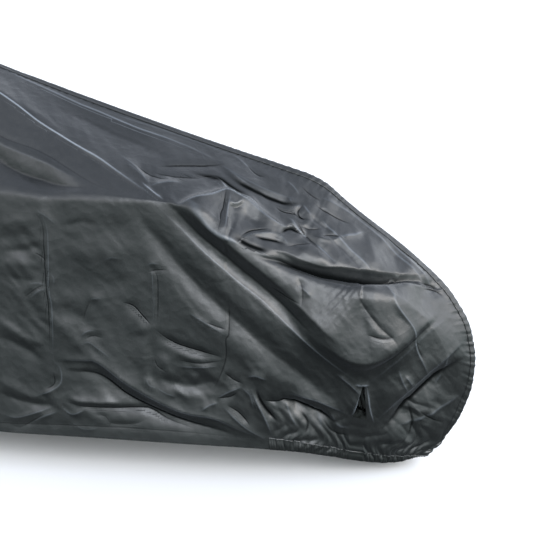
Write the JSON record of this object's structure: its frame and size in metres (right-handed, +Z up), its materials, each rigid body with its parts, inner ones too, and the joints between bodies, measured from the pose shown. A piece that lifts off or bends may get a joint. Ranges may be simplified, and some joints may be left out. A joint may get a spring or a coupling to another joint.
{
  "type": "bicycle cover",
  "caption": "Fitted black cloth cover for a parked bicycle, taut from a top ridge to one wheel end, with flat side hems, elastic end casings and a lock slot in each side.",
  "frame": {"origin": "just under the cloth at the top of the centre seam, where the thing below holds the cover up", "axes": "+X along the cover to the taut wheel end with the lock slots, -Y the side that the picture shows, +Z up"},
  "size_m": [2.0923, 0.6043, 1.0905],
  "materials": {
    "cloth": "satin coated black taffeta",
    "patch": "satin coated black taffeta, hemmed",
    "casing": "gathered black taffeta over elastic",
    "seam": "stitched black taffeta seam"
  },
  "bodies": {
    "root": {"near_panel": "cloth", "far_panel": "cloth", "near_slot_patch": "patch", "far_slot_patch": "patch", "wheel_end_casing": "casing", "other_end_casing": "casing", "centre_seam": "seam"}
  },
  "joints": []
}
